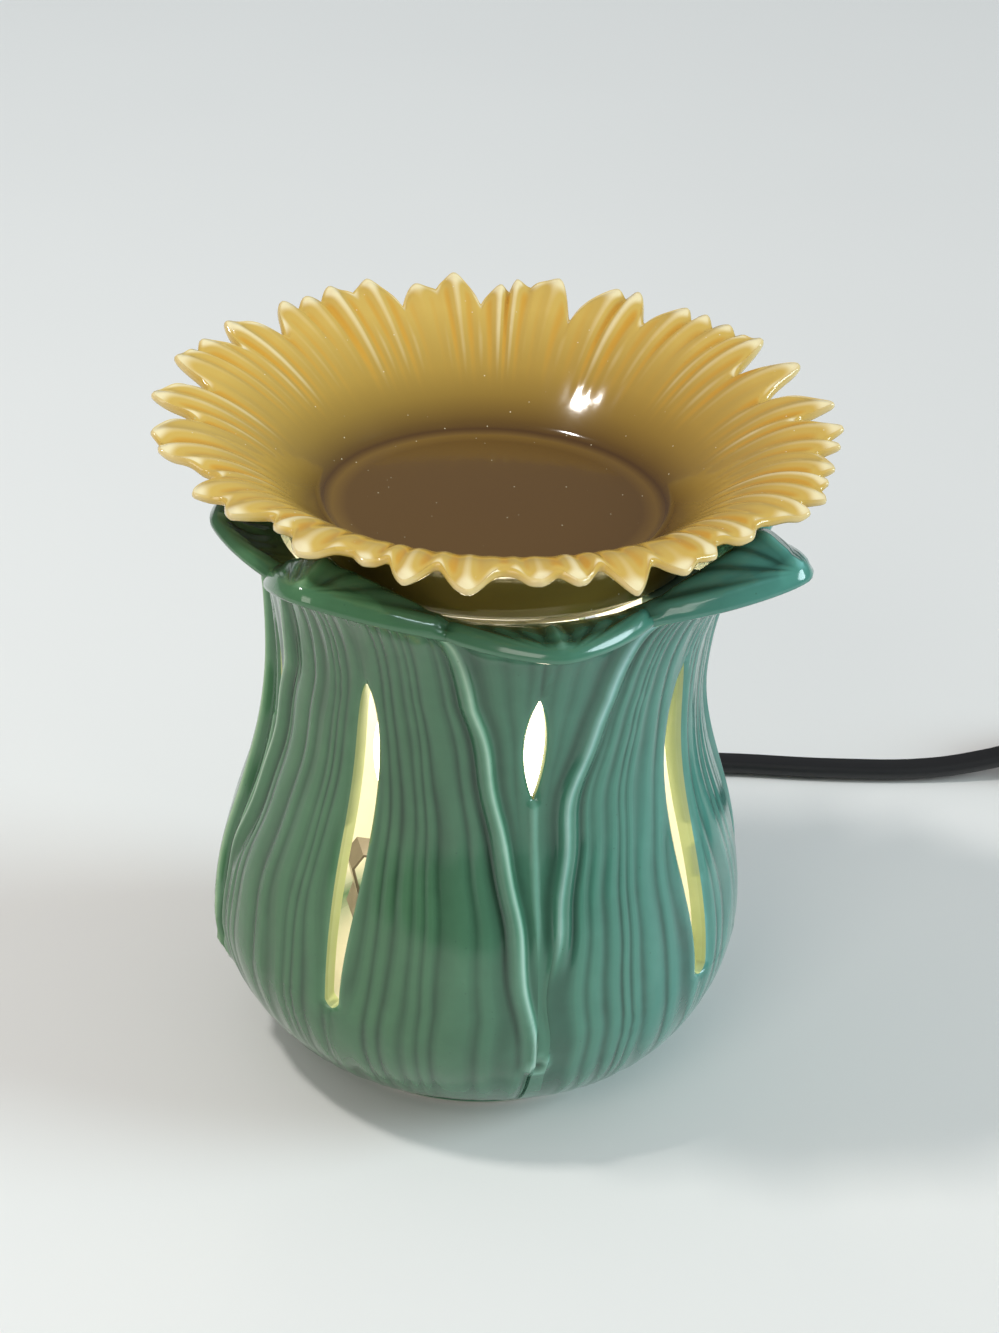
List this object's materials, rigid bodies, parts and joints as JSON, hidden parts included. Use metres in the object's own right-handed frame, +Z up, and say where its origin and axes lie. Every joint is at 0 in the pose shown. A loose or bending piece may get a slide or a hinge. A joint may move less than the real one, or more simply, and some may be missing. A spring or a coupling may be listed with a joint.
{
  "type": "wax warmer",
  "caption": "Plug-in wax warmer: a glazed ceramic body of standing leaves with light slits, a lift-off petal dish over a screw-in lamp, and a flat lead with a switch and plug.",
  "frame": {"origin": "centre of the foot, on the table", "axes": "+Z up, -Y towards the viewer at the middle of the front inner leaf, +X to the right, where the lead runs"},
  "size_m": [0.4112, 0.188, 0.159],
  "materials": {
    "green_glaze": "glossy green glaze, darker in the grooves and paler on the rims",
    "amber_glaze": "glossy amber glaze, cream on the petal edges and brown where it pools",
    "black_phenolic": "black moulded phenolic",
    "brass": "plain brass",
    "spring_steel": "bright steel",
    "solder": "dull grey metal",
    "black_glass": "glossy black insulator",
    "lamp_base": "pressed aluminium",
    "lamp_glass": "clear lamp glass",
    "stem_glass": "clear glass",
    "filament": "glowing wire",
    "black_rubber": "moulded black rubber",
    "black_cord": "smooth black cord jacket",
    "black_tie": "matte black band",
    "switch_case": "black moulded plastic",
    "switch_wheel": "ribbed black plastic"
  },
  "bodies": {
    "base": {"ceramic_body": "green_glaze", "holder_cap": "black_phenolic", "holder_shell": "black_phenolic", "contact_block": "black_phenolic", "screw_shell": "brass", "contact_leaf": "brass", "terminal_screw_line": "brass", "terminal_screw_neutral": "brass", "clip_collar": "spring_steel", "clip_leg_left": "spring_steel", "clip_leg_right": "spring_steel", "cord_bush": "black_rubber", "cord_lead": "black_cord", "cord_run": "black_cord", "cord_coil": "black_cord", "cord_tail": "black_cord", "cord_tie": "black_tie", "switch_lower": "switch_case", "switch_upper": "switch_case", "switch_axle": "spring_steel", "switch_screw": "spring_steel", "switch_contact_in": "brass", "switch_contact_out": "brass", "plug_body": "black_rubber", "plug_blade_left": "brass", "plug_blade_right": "brass"},
    "dish": {"dish": "amber_glaze"},
    "lamp_foot": {"lamp_tip": "solder"},
    "lamp": {"lamp_insulator": "black_glass", "lamp_base": "lamp_base", "lamp_globe": "lamp_glass", "lamp_stem": "stem_glass", "lamp_wire_left": "solder", "lamp_wire_right": "solder", "lamp_filament": "filament"},
    "switch_wheel": {"switch_wheel": "switch_wheel"}
  },
  "joints": [
    {"name": "dish_lift", "type": "slide", "parent": "base", "child": "dish", "axis": [0, 0, 1], "range_m": [0, 0.06]},
    {"name": "lamp_rise", "type": "slide", "parent": "base", "child": "lamp_foot", "axis": [0, 0, 1], "range_m": [0, 0.01815]},
    {"name": "lamp_turn", "type": "hinge", "parent": "lamp_foot", "child": "lamp", "pos_m": [0, 0, 0.03], "axis": [0, 0, 1], "range_deg": [0, 1800]},
    {"name": "switch_turn", "type": "hinge", "parent": "base", "child": "switch_wheel", "pos_m": [0.207, 0.0825, 0.0068], "axis": [0, 0, 1], "continuous": true}
  ],
  "couplings": [
    {"joint": "lamp_rise", "follows": "lamp_turn", "m_per_rad": 0.00057757}
  ]
}
